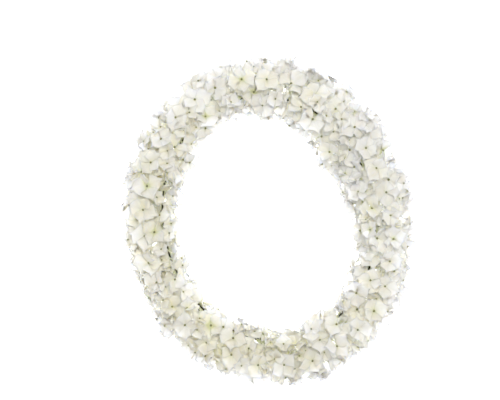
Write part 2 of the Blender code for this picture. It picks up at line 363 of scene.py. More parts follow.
def finished_mesh(name, work):
    """The mesh of this bmesh, which ends here."""
    mesh = bpy.data.meshes.new(name)
    work.to_mesh(mesh)
    work.free()
    return mesh


def as_mesh(obj):
    """The object's evaluated shape as a plain mesh."""
    graph = bpy.context.evaluated_depsgraph_get()
    return bpy.data.meshes.new_from_object(obj.evaluated_get(graph))


def set_values(mesh, name, kind, values):
    """Gives the mesh's points an attribute of this kind."""
    layer = mesh.attributes.new(name, kind, "POINT")
    for item, value in zip(layer.data, values):
        setattr(item, "vector" if kind == "FLOAT_VECTOR" else "value", value)


# Ring

def oval(turn):
    """Point of the ring wire's middle line, at this share of a full turn."""
    a = 2 * math.pi * turn
    x = RING_HALF_WIDTH * math.cos(a)
    y = RING_HALF_LENGTH * math.sin(a)
    return Vector((
        x * math.cos(RING_TURN) - y * math.sin(RING_TURN),
        x * math.sin(RING_TURN) + y * math.cos(RING_TURN),
        RING_HEIGHT,
    ))


RING_PLACES = [oval(i / RING_STEPS) for i in range(RING_STEPS + 1)]
LENGTHS = [0.0]
for last, here in zip(RING_PLACES, RING_PLACES[1:]):
    LENGTHS.append(LENGTHS[-1] + (here - last).length)
RING_LENGTH = LENGTHS[-1]
PITCH = RING_LENGTH / SPRAYS


def station(s):
    """Middle of the wire and the outward direction, at a length along the ring."""
    s = s % RING_LENGTH
    step = bisect.bisect_right(LENGTHS, s, hi=RING_STEPS) - 1
    share = (s - LENGTHS[step]) / (LENGTHS[step + 1] - LENGTHS[step])
    turn = (step + share) / RING_STEPS
    along = oval(turn + 1 / RING_STEPS) - oval(turn - 1 / RING_STEPS)
    return oval(turn), Vector((along.y, -along.x, 0)).normalized()


def at(s, out, up):
    """World point at a length along the ring, so far outward of the wire and so far above it."""
    point, outward = station(s)
    return point + outward * out + Vector((0, 0, up))


def direction_at(s):
    """Direction of this place from the middle of the ring, in radians."""
    point = station(s)[0]
    return math.atan2(point.y, point.x)


def toward(degrees):
    """Length along the ring of the place in this direction from its middle."""
    goal = math.radians(degrees)
    steps = [RING_LENGTH * i / RING_STEPS for i in range(RING_STEPS)]
    return min(steps, key=lambda s: abs(math.remainder(direction_at(s) - goal, 2 * math.pi)))


def station_of(point):
    """Length along the ring of the place nearest to this point."""
    return LENGTHS[min(range(RING_STEPS), key=lambda i: (RING_PLACES[i] - point).xy.length_squared)]


# Flower mass

def swung(mean, swings, direction):
    return mean + sum(
        size * math.cos(order * (direction - math.radians(greatest))) for size, order, greatest in swings)


def reaches(s):
    """How far the flowers reach inward and outward of the wire here."""
    direction = direction_at(s)
    return swung(INNER_REACH, INNER_SWINGS, direction), swung(OUTER_REACH, OUTER_SWINGS, direction)


def section_point(s, angle, inset):
    """Offsets outward of and above the wire, and the normal, of a point of the mass's oval section."""
    inner, outer = reaches(s)
    half_wide = (inner + outer) / 2 - inset
    half_high = MASS_TOP / 2 - inset
    out = (outer - inner) / 2 + half_wide * math.cos(angle)
    up = MASS_TOP / 2 - RING_HEIGHT + half_high * math.sin(angle)
    outward = station(s)[1]
    normal = outward * (math.cos(angle) * half_high) + Vector((0, 0, math.sin(angle) * half_wide))
    return out, up, normal.normalized()


def share_at(s, out):
    """Place across the flower mass: -1 at its inner edge, 0 in the middle, 1 at its outer edge."""
    inner, outer = reaches(s)
    return (out - (outer - inner) / 2) / ((inner + outer) / 2)


def top_at(s, out):
    """Height of the flower mass over the ring wire's level, this far out."""
    share = share_at(s, out)
    return (MASS_TOP - RING_HEIGHT) * math.sqrt(max(0.0, 1 - share * share))


def fringe_at(s, lumps):
    """How far petals may stand out of the flower mass here: it swells and shrinks along the ring."""
    size, *lengths = lumps
    return OUTLINE_FRINGE + size * sum(math.sin(2 * math.pi * s / length) for length in lengths)


def grid(step):
    """Places over the flower mass at this step: length along the ring, how far out, and the point."""
    for i in range(int(RING_LENGTH / step)):
        s = i * step
        inner, outer = reaches(s)
        for j in range(1, int((inner + outer) / step)):
            out = j * step - inner
            yield s, out, at(s, out, 0.0)


# Wires and stems

def stem_place(side):
    """Place of a stem across the bundle: outward of the ring wire, and above it."""
    away = WIRE_RADIUS + STEM_GAP + STEM_RADIUS
    return away * math.cos(STEM_ANGLE[side]), away * math.sin(STEM_ANGLE[side])


def binding_spiral(away, finer):
    """Points of the binding wire, this far from each stem in turn, so many times finer than packed."""
    step = math.pi / BINDING_POINTS
    count = BINDING_TURNS * 2 * BINDING_POINTS
    points = []
    for i in range(count * finer):
        whole = i / finer
        side = "outer" if int(whole) // BINDING_POINTS % 2 == 0 else "inner"
        angle = STEM_ANGLE[side] - math.pi / 2 + step * (whole % BINDING_POINTS + 0.5)
        out, up = stem_place(side)
        s = RING_LENGTH * whole / count
        points.append(at(s, out + away * math.cos(angle), up + away * math.sin(angle)))
    return points


def swept(name, points, radius, resolution, closed, tip_share=1.0):
    """A wire or stem along these points, as a mesh object."""
    curve = bpy.data.curves.new(name, "CURVE")
    curve.dimensions = "3D"
    curve.bevel_depth = radius
    curve.bevel_resolution = resolution
    curve.use_fill_caps = not closed
    spline = curve.splines.new("POLY")
    spline.points.add(len(points) - 1)
    for i, point in enumerate(points):
        spline.points[i].co = (*point, 1)
        spline.points[i].radius = 1 + (tip_share - 1) * i / (len(points) - 1)
    spline.use_cyclic_u = closed
    holder = placed_object(name + "_curve", curve)
    work = bmesh.new()
    work.from_mesh(as_mesh(holder))
    bpy.data.objects.remove(holder)
    bmesh.ops.remove_doubles(work, verts=work.verts, dist=1e-6)
    bmesh.ops.triangulate(work, faces=work.faces)
    bmesh.ops.recalc_face_normals(work, faces=work.faces)
    return bpy.data.objects.new(name, finished_mesh(name, work))


def build_ring():
    points = [oval(i / RING_POINTS) for i in range(RING_POINTS)]
    return swept("wire_ring", points, WIRE_RADIUS, 1, True)


def build_binding():
    """A spiral whose points stand outside the far half of each stem in turn."""
    away = BINDING_AWAY / math.cos(math.pi / BINDING_POINTS / 2)
    return swept("binding_wire", binding_spiral(away, 1), BINDING_RADIUS, 0, True)


def build_stem(side, number):
    start = PITCH * (number + STEM_SHIFT[side])
    length = PITCH * STEM_SHARE
    points = [at(start + length * i / (STEM_POINTS - 1), *stem_place(side)) for i in range(STEM_POINTS)]
    name = f"{side}_spray_{number + 1:02d}"
    made = swept(name, points, STEM_RADIUS, 0, False, STEM_TIP_SHARE)
    place = {"name": name, "side": side, "start": start, "length": length}
    return {**place, "object": made, "tree": solid_tree(made)}


# Packed florets

def floret_template():
    """A floret's points, each as its kind and its angle, with the faces of its head and its pedicel."""
    work = bmesh.new()
    loops = []
    for _, segments, radius, height, capped in FLORET_LOOPS:
        made = bmesh.ops.create_circle(
            work, cap_ends=capped, cap_tris=segments == RIM_POINTS, segments=segments, radius=radius,
            matrix=Matrix.Translation((0, 0, height)))
        corners = [v for v in made["verts"] if v.co.xy.length > radius / 2]
        loops.append([e for e in work.edges if e.verts[0] in corners and e.verts[1] in corners])
    for upper, lower in zip(loops, loops[1:]):
        bmesh.ops.bridge_loops(work, edges=upper + lower)
    bmesh.ops.triangulate(work, faces=work.faces)
    bmesh.ops.recalc_face_normals(work, faces=work.faces)
    work.verts.index_update()
    kinds = {height: kind for kind, _, _, height, _ in FLORET_LOOPS}
    points = []
    for vert in work.verts:
        in_middle = vert.co.xy.length < 0.05
        kind = "middle" if in_middle else kinds[round(vert.co.z, 1)]
        points.append((kind, math.atan2(vert.co.y, vert.co.x) % (2 * math.pi)))
    head = []
    pedicel = []
    for face in work.faces:
        corners = tuple(v.index for v in face.verts)
        ends = pedicel if any(points[i][0] == "root" for i in corners) else head
        ends.append(corners)
    work.free()
    return points, head, pedicel


FLORET_POINTS, HEAD_FACES, PEDICEL_FACES = floret_template()


def sepal_rim(rng):
    """Reach, angle and rise of each rim point of a floret of radius 1: shoulder, shoulder and notch."""
    rim = []
    for k in range(SEPALS):
        middle = 2 * math.pi * k / SEPALS + rng.uniform(-SEPAL_LEAN, SEPAL_LEAN)
        size = rng.uniform(*SEPAL_SIZE)
        half = SEPAL_HALF_ANGLE * rng.uniform(*HALF_ANGLE_SPREAD)
        rise = rng.uniform(*SEPAL_RISE)
        wave = rng.uniform(*SEPAL_WAVE)
        rim.append((size * rng.uniform(*SHOULDER_REACH), middle - half, rise - wave))
        rim.append((size * rng.uniform(*SHOULDER_REACH), middle + half, rise + wave))
        rim.append((rng.uniform(*NOTCH_REACH), 2 * math.pi * (k + 0.5) / SEPALS, NOTCH_RISE))
    return rim


def floret_shape(rim, radius, place, root, grow=0.0):
    """World points of a floret with its pedicel sunk at root, every wall moved outward by grow."""
    root_below = place.inverted() @ root
    points = []
    for kind, angle in FLORET_POINTS:
        if kind in ("face", "back"):
            far, turn, rise = rim[round(angle * RIM_POINTS / (2 * math.pi)) % RIM_POINTS]
            far = far * radius + grow
            height = rise * radius + grow if kind == "face" else rise * radius - SEPAL_THICK - grow
            local = Vector((far * math.cos(turn), far * math.sin(turn), height))
        elif kind == "middle":
            local = Vector((0, 0, grow))
        else:
            wide = PEDICEL_RADIUS + grow
            local = Vector((wide * math.cos(angle), wide * math.sin(angle), 0))
            local += root_below if kind == "root" else Vector((0, 0, -SEPAL_THICK - grow))
        points.append(place @ local)
    return points


def facing_place(middle, normal, rng):
    """Place of a floret's head: its middle, facing along normal, and turned about it by chance."""
    turn = Matrix.Rotation(rng.uniform(0, math.pi), 4, "Z")
    return Matrix.Translation(middle) @ normal.to_track_quat("Z", "Y").to_matrix().to_4x4() @ turn


def solid_tree(obj):
    points = [v.co.copy() for v in obj.data.vertices]
    return BVHTree.FromPolygons(points, [tuple(p.vertices) for p in obj.data.polygons])


class Bed:
    """The wires, the stems and every floret placed so far, to test a new floret against."""

    def __init__(self, wires, stems, forms):
        self.wires = [solid_tree(wire) for wire in wires]
        self.stems = stems
        self.forms = forms
        self.florets = []
        self.windows, self.hidden = wire_marks()

    def has_room(self, spray, middle, head, pedicel):
        for wire in self.wires:
            if head.overlap(wire) or pedicel.overlap(wire):
                return False
        for stem in self.stems:
            if head.overlap(stem["tree"]) or (stem["name"] != spray and pedicel.overlap(stem["tree"])):
                return False
        for other in self.florets:
            if (other["middle"] - middle).length > NEAR:
                continue
            if head.overlap(other["head"]) or head.overlap(other["pedicel"]):
                return False
            if pedicel.overlap(other["head"]):
                return False
            if other["spray"] != spray and pedicel.overlap(other["pedicel"]):
                return False
        return True

    def spray_at(self, side, s):
        """The stem of this side whose stretch of the ring holds s."""
        number = int((s / PITCH - STEM_SHIFT[side]) % SPRAYS)
        return self.stems[number if side == "outer" else SPRAYS + number]

    def near(self, middle, but=None):
        """Florets beside this point, all but one."""
        return [f for f in self.florets if f is not but and (f["middle"] - middle).length < NEIGHBOUR]


def root_on(stem, s, lean):
    """Where a pedicel starts on the middle line of its stem, a little behind its floret."""
    along = (s - lean - stem["start"] + RING_LENGTH / 2) % RING_LENGTH - RING_LENGTH / 2
    along = min(max(along, ROOT_MARGIN), stem["length"] - ROOT_MARGIN)
    return at(stem["start"] + along, *stem_place(stem["side"]))


def inside_mass(s, points, resting):
    """Whether these points stay in the flower mass's outline and clear of the surface."""
    point, outward = station(s)
    inner, outer = reaches(s)
    outs = [(p - point).dot(outward) for p in points]
    ups = [p.z for p in points]
    if min(outs) < -inner - FRINGE or max(outs) > outer + FRINGE or max(ups) > MASS_TOP + FRINGE:
        return False
    return resting or min(ups) > FLOOR_CLEARANCE


def try_floret(bed, side, s, out, up, normal, radius, rim, rng, resting=False):
    """Adds this floret and gives True, if it is clear of all the rest."""
    stem = bed.spray_at(side, s)
    middle = at(s, out, up)
    root = root_on(stem, s, rng.uniform(*PEDICEL_LEAN))
    if (middle - root).normalized().dot(normal) < PEDICEL_LEAST_FACING:
        return False
    place = facing_place(middle, normal, rng)
    grown = floret_shape(rim, radius, place, root, CLEARANCE)
    if not inside_mass(s, grown, resting):
        return False
    head = BVHTree.FromPolygons(grown, HEAD_FACES)
    pedicel = BVHTree.FromPolygons(grown, PEDICEL_FACES)
    if not bed.has_room(stem["name"], middle, head, pedicel):
        return False
    points = floret_shape(rim, radius, place, root)
    bed.florets.append({
        "spray": stem["name"], "place": place, "root": root, "middle": middle, "radius": radius, "rim": rim,
        "resting": resting, "head": BVHTree.FromPolygons(points, HEAD_FACES),
        "pedicel": BVHTree.FromPolygons(points, PEDICEL_FACES)})
    return True


def place_resting(bed, rng, degrees):
    """A floret pressed flat against the surface, in this direction from the middle."""
    s = toward(degrees)
    inner, outer = reaches(s)
    flat_rim = [(far, turn, 0.0) for far, turn, rise in sepal_rim(rng)]
    radius = FLORET_RADIUS * REST_SIZE
    for _ in range(TRIES):
        where = s + rng.uniform(-REST_SHIFT, REST_SHIFT)
        out = (outer - inner) / 2 + rng.uniform(-REST_SHIFT, REST_SHIFT)
        if try_floret(bed, "inner", where, out, -RING_HEIGHT, DOWN, radius, flat_rim, rng, True):
            return


def place_floret(bed, rng, plan, spread, size):
    """Tries places nearer and then further from the planned one. Gives False if none is clear."""
    planned_s, planned_angle, side, rim = plan
    for attempt in range(TRIES):
        loose = spread * min(1.0, FIRST_SPREAD + attempt / TRIES_TO_FULL_SPREAD)
        s = planned_s + rng.uniform(-SHIFT_ALONG, SHIFT_ALONG) * loose
        angle = planned_angle + rng.uniform(-SHIFT_AROUND, SHIFT_AROUND) * loose
        inset = FLORET_INSET + rng.uniform(*SHIFT_INSET) * min(1.0, loose)
        out, up, normal = section_point(s, angle, inset)
        normal += Vector([rng.gauss(0, TILT) for _ in range(3)])
        normal.z += RAISE * max(0.0, RAISE_FROM + normal.z)
        radius = FLORET_RADIUS * size * rng.uniform(1 - SIZE_SPREAD, 1 + SIZE_SPREAD)
        if try_floret(bed, side, s, out, up, normal.normalized(), radius, rim, rng):
            return True
    return False


def place_florets(bed, rng):
    for degrees in REST_DIRECTIONS:
        place_resting(bed, rng, degrees)
    waiting = []
    for row, (degrees, count, side) in enumerate(ROWS):
        for i in range(count):
            s = RING_LENGTH * (i + row * ROW_STAGGER) / count
            waiting.append((s, math.radians(degrees), side, sepal_rim(rng)))
    for spread, size in PASSES:
        waiting = [plan for plan in waiting if not place_floret(bed, rng, plan, spread, size)]


# Sepal shapes

def sepal_form(rng):
    """One sepal's own shape: how wide, blunt, cupped, curled, folded, waved and bent it is. Its proxy is
    a few points of it, for overlap tests."""
    form = {
        "wide": rng.uniform(1.00, 1.30),
        "widest": rng.uniform(0.85, 1.30),
        "blunt": rng.uniform(0.92, 1.50),
        "ragged": rng.uniform(0.04, 0.12),
        "cup": rng.uniform(-0.08, 0.10),
        "curl": rng.uniform(-0.3, 0.7),
        "fold": rng.choice((-0.30, -0.15, 0.0, 0.10, 0.20, 0.35, 0.60)),
        "wave": rng.uniform(0.05, 0.13),
        "phase": rng.uniform(0, 2 * math.pi),
        "sway": rng.uniform(-0.10, 0.10),
        "twist": rng.uniform(-0.30, 0.30),
    }
    form["proxy"] = [sepal_point(form, across, along) for along in PROXY_ALONG for across in PROXY_ACROSS]
    return form


def sepal_point(form, across, along):
    """A point of the sepal: across runs from -1 to 1, and along from the claw, 0, to the tip, 1."""
    side = form["phase"] if across < 0 else form["phase"] + SIDES_APART
    swell = math.sin(math.pi * min(0.9999, along) ** form["widest"]) ** form["blunt"]
    swell *= 1 + form["ragged"] * math.sin(RAGS * along + side) * abs(across)
    x = across * (CLAW_HALF_WIDTH + SEPAL_HALF_WIDTH * form["wide"] * swell)
    z = form["cup"] * along ** 2 - form["curl"] * max(0.0, along - CURL_START) ** 2
    z += form["fold"] * abs(x) ** FOLD_POWER
    rim_wave = form["wave"] * abs(across) ** RIM_WAVE_POWER * math.sin(RIM_WAVES * along + side)
    z += rim_wave * (RIM_WAVE_AT_CLAW + along)
    groove = MIDRIB_DEPTH * math.exp(-(across / MIDRIB_WIDTH) ** 2)
    z -= groove * math.sin(math.pi * min(1.0, along + MIDRIB_SHIFT))
    y = BODY_LENGTH * along + TIP_LENGTH * (1 - abs(across)) * along ** TIP_POWER
    turned = form["twist"] * along
    return Vector((
        x * math.cos(turned) - z * math.sin(turned) + form["sway"] * along ** 2,
        y,
        x * math.sin(turned) + z * math.cos(turned)))


def sepal_object(name, form):
    """The sepal as a thin closed shell, with across and along kept as its UV map."""
    work = bmesh.new()
    work.loops.layers.uv.new("sepal")
    bmesh.ops.create_grid(work, x_segments=SEPAL_COLUMNS, y_segments=SEPAL_ROWS, size=0.5, calc_uvs=True)
    for vert in work.verts:
        vert.co = sepal_point(form, vert.co.x * 2, vert.co.y + 0.5)
    for face in work.faces:
        face.smooth = True
    made = bpy.data.objects.new(name, finished_mesh(name, work))
    shell = made.modifiers.new("shell", "SOLIDIFY")
    shell.thickness = SEPAL_THIN / FLORET_RADIUS
    shell.offset = 0.0
    return made


def bud_object(name):
    """The tiny closed flower in the middle of a floret: a squat ball with four seams."""
    work = bmesh.new()
    bmesh.ops.create_uvsphere(work, u_segments=8, v_segments=6, radius=1.0)
    for vert in work.verts:
        seam = 1 + BUD_SEAM * math.cos(4 * math.atan2(vert.co.y, vert.co.x))
        vert.co = Vector((vert.co.x * seam, vert.co.y * seam, vert.co.z * BUD_SQUASH + BUD_LIFT))
    # The ball's faces come in a new order on each run, so each starts at its lowest corner, and they
    # are sorted
    work.verts.index_update()
    faces = []
    for face in work.faces:
        corners = [v.index for v in face.verts]
        first = corners.index(min(corners))
        faces.append(corners[first:] + corners[:first])
    mesh = bpy.data.meshes.new(name)
    mesh.from_pydata([v.co for v in work.verts], [], sorted(faces))
    work.free()
    for face in mesh.polygons:
        face.use_smooth = True
    return bpy.data.objects.new(name, mesh)


# How the florets lie

def proxy_faces():
    wide = len(PROXY_ACROSS)
    faces = []
    for row in range(len(PROXY_ALONG) - 1):
        for column in range(wide - 1):
            first = row * wide + column
            faces.append((first, first + 1, first + wide + 1, first + wide))
    return faces


PROXY_FACES = proxy_faces()


def head_tree(sepals, forms):
    """A floret's sepals as a few faces each, for overlap tests."""
    points = []
    faces = []
    for sepal in sepals:
        first = len(points)
        scaled = sepal["world"] @ Matrix.Scale(sepal["size"], 4)
        points += [scaled @ point for point in forms[sepal["kind"]]["proxy"]]
        faces += [tuple(first + i for i in face) for face in PROXY_FACES]
    return points, BVHTree.FromPolygons(points, faces)


def lay_sepal(floret, head, k, opening, rng, wild):
    """One sepal, lifted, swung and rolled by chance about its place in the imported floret."""
    left, right, _ = floret["rim"][k * 3:k * 3 + 3]
    reach = (left[0] + right[0]) / 2
    rise = math.atan2((left[2] + right[2]) / 2, reach)
    lift = rise * RISE_KEPT + opening + rng.gauss(0, SEPAL_LIFT) * wild
    roll = (left[2] - right[2]) * ROLL_KEPT + rng.gauss(0, SEPAL_ROLL) * wild
    turn = (left[1] + right[1]) / 2 - math.pi / 2 + rng.gauss(0, SEPAL_SWING) * wild
    world = head @ Matrix.Translation((0, 0, PAIR_STEP * (k % 2 - 0.5))) @ Matrix.Rotation(turn, 4, "Z")
    size = SEPAL_BASE + SEPAL_SHARE * floret["radius"] * reach
    return {
        "world": world @ Matrix.Rotation(lift, 4, "X") @ Matrix.Rotation(roll, 4, "Y"),
        "size": size * rng.uniform(*REACH_SPREAD) * floret["grown"],
        "kind": rng.randrange(SEPAL_KINDS),
    }


def lie_of(floret, forms, rng, wild):
    """One way for a floret to lie: its head tilted, and each sepal lifted, swung and rolled by chance."""
    head = floret["place"] @ Matrix.Rotation(rng.gauss(0, HEAD_TILT) * wild, 4, "X")
    head = head @ Matrix.Rotation(rng.gauss(0, HEAD_TILT) * wild, 4, "Y")
    facing = head.col[2].xyz
    lean = facing.cross(UP)
    if facing.z > LEAN_LEAST_FACING and wild > 0:
        middle = Matrix.Translation(head.translation)
        head = middle @ Matrix.Rotation(HEAD_LEAN * lean.length, 4, lean) @ middle.inverted() @ head
    opening = rng.choice(OPENINGS) * wild
    sepals = [lay_sepal(floret, head, k, opening, rng, wild) for k in range(SEPALS)]
    points, tree = head_tree(sepals, forms)
    return {"head": head, "opening": opening, "sepals": sepals, "tree": tree, "points": points}


def wire_marks():
    """Points along the ring wire: those where it shows from above, and those that the foliage hides."""
    windows = [at(toward(degrees) + along, 0.0, 0.0) for degrees in WINDOWS for along in WINDOW_POINTS]
    marks = [at(RING_LENGTH * i / WIRE_MARKS, MARK_OUTS[i % 2], 0.0) for i in range(WIRE_MARKS)]
    hidden = [
        mark for mark in marks if min((mark - window).length for window in windows) > WINDOW_SIZE]
    return windows, hidden


def covers(tree, point):
    """Whether this hides the point from the camera."""
    way = point - CAMERA_PLACE
    return tree.ray_cast(CAMERA_PLACE, way.normalized(), way.length)[0] is not None


def behind(point):
    """Where the camera sees the floor past this point."""
    return CAMERA_PLACE + (point - CAMERA_PLACE) * (CAMERA_HEIGHT / (CAMERA_HEIGHT - point.z))


def first_seen(point, florets):
    """Height of the first sepal that the camera sees toward this point, or 0 if there is none."""
    way = (point - CAMERA_PLACE).normalized()
    hits = [f["lie"]["tree"].ray_cast(CAMERA_PLACE, way)[0] for f in florets]
    return max([hit.z for hit in hits if hit], default=0.0)


def near_points(points, middle):
    return [point for point in points if (point - middle).xy.length < NEIGHBOUR]


def only_hidden_by(tree, others, points):
    """Those of the points that this tree hides and none of the others does."""
    return [p for p in points if covers(tree, p) and not any(covers(other, p) for other in others)]


def cost_of(lie, s, neighbours, bed, windows, bare=()):
    """How much this way to lie cuts into its neighbours and the wires, hides a window, bares the wire or
    leaves the flower mass's outline."""
    tree = lie["tree"]
    cost = CLASH_COST * sum(len(tree.overlap(other["lie"]["tree"])) for other in neighbours)
    cost += WIRE_COST * sum(len(tree.overlap(wire)) for wire in bed.wires)
    cost += WIRE_COST * sum(len(tree.overlap(stem["tree"])) for stem in bed.stems)
    cost += COVERED_COST * sum(covers(tree, point) for point in windows)
    cost += BARE_COST * sum(not covers(tree, point) for point in bare)
    low = min(point.z for point in lie["points"])
    high = max(point.z for point in lie["points"])
    cost += HEIGHT_COST * (max(0.0, high - MASS_TOP - FRINGE) + max(0.0, PRESS_FLOOR - low))
    point, outward = station(s)
    inner, outer = reaches(s)
    outs = [(corner - point).dot(outward) for corner in lie["points"]]
    beyond = max(0.0, max(outs) - outer - fringe_at(s, OUTER_LUMPS))
    beyond += max(0.0, -min(outs) - inner - fringe_at(s, INNER_LUMPS))
    return cost + OUTLINE_COST * beyond


def settle(bed, rng):
    """Gives every floret a way to lie, the best of a few by chance, so that no two look alike."""
    for floret in bed.florets:
        floret["s"] = station_of(floret["middle"])
        floret["grown"] = 1.0
        floret["lie"] = lie_of(floret, bed.forms, rng, 0.0)
    for floret in bed.florets:
        if floret["resting"]:
            continue
        middle = floret["middle"]
        neighbours = bed.near(middle, floret)
        shown = near_points(bed.windows, middle)
        tree = floret["lie"]["tree"]
        others = [f["lie"]["tree"] for f in neighbours]
        bare = only_hidden_by(tree, others, near_points(bed.hidden, middle))
        best = cost_of(floret["lie"], floret["s"], neighbours, bed, shown, bare) + FIRST_LIE_COST
        hides = any(covers(tree, point) for point in shown)
        for _ in range(LIES_AT_WINDOW if hides else LIES_TRIED):
            lie = lie_of(floret, bed.forms, rng, WILD_AT_WINDOW if hides else 1.0)
            cost = cost_of(lie, floret["s"], neighbours, bed, shown, bare)
            if cost < best:
                best = cost
                floret["lie"] = lie
                if cost == 0:
                    break


def ease(floret, bed, rng, tries, hidden=()):
    """Tries other lifts and rolls for each sepal in turn, so that it passes over or under its neighbours.
    Gives what the floret still costs."""
    neighbours = bed.near(floret["middle"], floret)
    shown = near_points(bed.windows, floret["middle"])
    marks = near_points(hidden, floret["middle"])
    others = [f["lie"]["tree"] for f in neighbours]
    lie = floret["lie"]
    total = 0.0
    for k in range(SEPALS):
        rest = head_tree(lie["sepals"][:k] + lie["sepals"][k + 1:], bed.forms)[1]
        bare = only_hidden_by(lie["tree"], [rest] + others, marks)
        best = math.inf
        chosen = lie["sepals"][k]
        for attempt in range(tries):
            sepal = lie["sepals"][k]
            if attempt > 0:
                sepal = lay_sepal(floret, lie["head"], k, lie["opening"], rng, EASE_WILD)
            points, tree = head_tree([sepal], bed.forms)
            cost = cost_of({"points": points, "tree": tree}, floret["s"], neighbours, bed, shown, bare)
            if cost < best:
                best = cost
                chosen = sepal
            if cost == 0:
                break
        total += best
        lie["sepals"][k] = chosen
        lie["points"], lie["tree"] = head_tree(lie["sepals"], bed.forms)
    return total


# Late florets

def try_late(bed, rng, s, out, up, normal, goal=None, slack=1.0):
    """Adds a late floret here and gives True, if it cuts into little else and hides the goal point."""
    normal = normal + UP * FILLER_FACING + Vector([rng.gauss(0, FILLER_TILT) for _ in range(3)])
    normal.normalize()
    stem = bed.spray_at("outer" if up > 0 or out > OUTER_FROM else "inner", s)
    middle = at(s, out, up)
    root = root_on(stem, s, rng.uniform(*PEDICEL_LEAN))
    way = middle - root
    if way.normalized().dot(normal) < FILLER_LEAST_FACING:
        return False
    neighbours = bed.near(middle)
    if min((f["lie"]["head"].translation - middle).length for f in neighbours) < LEAST_APART:
        return False
    if any(f["lie"]["tree"].ray_cast(root, way.normalized(), way.length)[0] for f in neighbours):
        return False
    floret = {
        "spray": stem["name"], "place": facing_place(middle, normal, rng), "root": root, "middle": middle,
        "s": s, "resting": False, "radius": FLORET_RADIUS * rng.uniform(*FILLER_SIZE),
        "rim": sepal_rim(rng), "grown": rng.uniform(*FILLER_GROWN)}
    floret["lie"] = lie_of(floret, bed.forms, rng, 1.0)
    if goal is not None and not covers(floret["lie"]["tree"], goal):
        return False
    shown = near_points(bed.windows, middle)
    if cost_of(floret["lie"], s, neighbours, bed, shown) > FIRST_CLASH * slack:
        return False
    if ease(floret, bed, rng, FILLER_EASE) > MOST_CLASH * slack:
        return False
    bed.florets.append(floret)
    return True


def grow_near(bed, rng, s, out, top, down, normal, goal, slack):
    """Tries late florets near this place, some way down from top, until one hides the goal point."""
    for _ in range(GAP_TRIES):
        up = top - rng.uniform(*down)
        beside = out + rng.uniform(-GAP_BESIDE, GAP_BESIDE)
        along = s + rng.uniform(-GAP_BESIDE, GAP_BESIDE)
        if try_late(bed, rng, along, beside, up, normal, goal, slack):
            return


def cover_wire(bed, rng):
    """Late florets over the ring wire, where it would show and shouldn't."""
    for point in bed.hidden:
        if any(covers(f["lie"]["tree"], point) for f in bed.near(point)):
            continue
        s = station_of(point)
        for _ in range(COVER_TRIES):
            out = rng.uniform(*COVER_OUT)
            up = rng.uniform(*COVER_UP)
            near = s + rng.uniform(-COVER_ALONG, COVER_ALONG)
            if try_late(bed, rng, near, out, up, UP, point):
                break


def fill_gaps(bed, rng):
    """Late florets wherever the camera would see deep into the mass."""
    for s, out, point in grid(GAP_STEP):
        top = top_at(s, out)
        first = first_seen(point, bed.near(point))
        if first - RING_HEIGHT > top - GAP_DEPTH:
            continue
        slack = SEE_THROUGH_SLACK if first == 0.0 else 1.0
        normal = station(s)[1] * share_at(s, out) + UP
        grow_near(bed, rng, s, out, top, GAP_DOWN, normal, behind(point), slack)


def close_holes(bed, rng):
    """Late florets that face down, wherever the camera would still see through to the floor."""
    for s, out, point in grid(HOLE_STEP):
        if abs(share_at(s, out)) > HOLE_SHARE or first_seen(point, bed.near(point)) > 0:
            continue
        grow_near(bed, rng, s, out, 0.0, HOLE_DOWN, DOWN, behind(point), SEE_THROUGH_SLACK)


def scatter_late(bed, rng, count):
    """Late florets in whatever room is left, until there are so many in all."""
    for _ in range(FILLER_TRIES):
        s = rng.uniform(0, RING_LENGTH)
        out, up, normal = section_point(s, rng.uniform(*FILLER_ANGLES), rng.uniform(*FILLER_INSET))
        try_late(bed, rng, s, out, up, normal)
        if len(bed.florets) >= count:
            break


# Materials

def linear(hex_colour):
    """Linear RGBA of an sRGB hex colour."""
    channels = [int(hex_colour[i:i + 2], 16) / 255 for i in (1, 3, 5)]
    return tuple(c / 12.92 if c <= 0.04045 else ((c + 0.055) / 1.055) ** 2.4 for c in channels) + (1.0,)


def add_node(tree, kind, settings=(), inputs=(), stops=()):
    """Adds a node, with settings as attributes, and inputs as values, as sockets to link from, or as nodes
    whose first output to link from. Stops are a colour ramp's positions and hex colours."""
    node = tree.nodes.new(kind)
    for name, value in dict(settings).items():
        setattr(node, name, value)
    for name, value in dict(inputs).items():
        if isinstance(value, bpy.types.Node):
            value = value.outputs[0]
        if isinstance(value, bpy.types.NodeSocket):
            tree.links.new(value, node.inputs[name])
        else:
            node.inputs[name].default_value = value
    if stops:
        elements = node.color_ramp.elements
        while len(elements) < len(stops):
            elements.new(0.5)
        for element, (position, colour) in zip(elements, stops):
            element.position = position
            element.color = linear(colour)
    return node


def new_material(name, values):
    """A material with one Principled shader, whose uniform values are set on its own sockets."""
    made = bpy.data.materials.new(name)
    made.use_nodes = True
    shader = made.node_tree.nodes["Principled BSDF"]
    for socket, value in values.items():
        shader.inputs[socket].default_value = value
    return made, made.node_tree, shader


# A sepal is about 15 mm long. Its side veins leave the midrib every 1.6 mm or so and run forward at a
# slant, three soft folds fan out on each side of the midrib, and faint blotches are about 4 mm across.
SIDE_VEINS = 9
VEIN_SLANT = -0.55
SIDE_FOLDS = 3.2
BLOTCHES_PER_METRE = 250.0
SEPAL_RELIEF = 0.00022
SEPAL_VALUES = {
    "Roughness": 0.62, "IOR": 1.38, "Subsurface Weight": 1.0, "Subsurface Scale": 0.0010,
    "Subsurface Radius": (0.9, 1.0, 1.35)}

